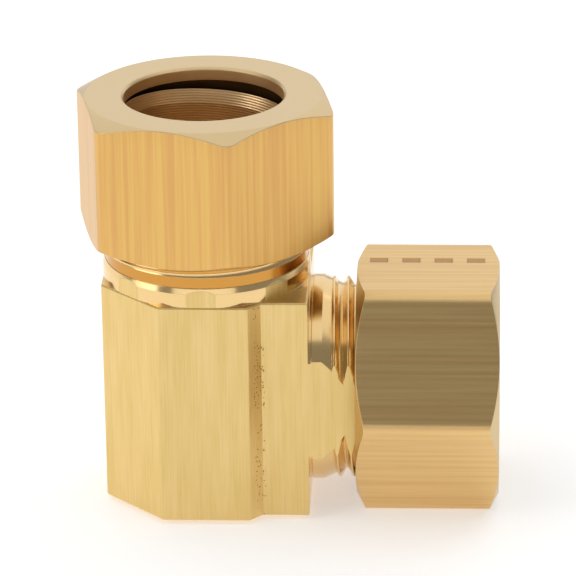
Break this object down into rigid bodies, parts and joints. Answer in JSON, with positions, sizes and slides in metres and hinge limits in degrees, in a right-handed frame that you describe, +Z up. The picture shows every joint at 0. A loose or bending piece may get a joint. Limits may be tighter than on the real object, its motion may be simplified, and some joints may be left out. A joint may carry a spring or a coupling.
{
  "type": "compression elbow fitting",
  "caption": "Right-angle brass compression elbow for tube: a bar-stock body with threaded arms, hex nuts and loose sleeves.",
  "frame": {"origin": "on the flat bottom face of the body, under the axis of the upright port", "axes": "+Z up along the upright port, +X out along the sideways port, +Y towards the back"},
  "size_m": [0.0425, 0.027, 0.0424],
  "materials": {
    "body_brass": "extruded bar, matt, with turned arms",
    "nut_brass": "drawn hexagon bar, turned end faces",
    "sleeve_brass": "turned, with fine tool rings"
  },
  "bodies": {
    "elbow": {"elbow_body": "body_brass"},
    "top_sleeve_turn": {"top_sleeve": "sleeve_brass"},
    "top_nut_screw": {"top_nut": "nut_brass"},
    "side_sleeve_turn": {"side_sleeve": "sleeve_brass"},
    "side_nut_screw": {"side_nut": "nut_brass"}
  },
  "joints": [
    {"name": "top_nut_turn", "type": "hinge", "parent": "elbow", "child": "top_sleeve_turn", "pos_m": [0, 0, 0.0231], "axis": [0, 0, 1], "range_deg": [0, 1640]},
    {"name": "top_nut_travel", "type": "slide", "parent": "top_sleeve_turn", "child": "top_nut_screw", "axis": [0, 0, 1], "range_m": [0, 0.00645]},
    {"name": "side_nut_turn", "type": "hinge", "parent": "elbow", "child": "side_sleeve_turn", "pos_m": [0.01045, 0, 0.01155], "axis": [1, 0, 0], "range_deg": [0, 1640]},
    {"name": "side_nut_travel", "type": "slide", "parent": "side_sleeve_turn", "child": "side_nut_screw", "axis": [1, 0, 0], "range_m": [0, 0.00645]}
  ],
  "couplings": [
    {"joint": "top_nut_travel", "follows": "top_nut_turn", "m_per_rad": 0.00022459},
    {"joint": "side_nut_travel", "follows": "side_nut_turn", "m_per_rad": 0.00022459}
  ]
}
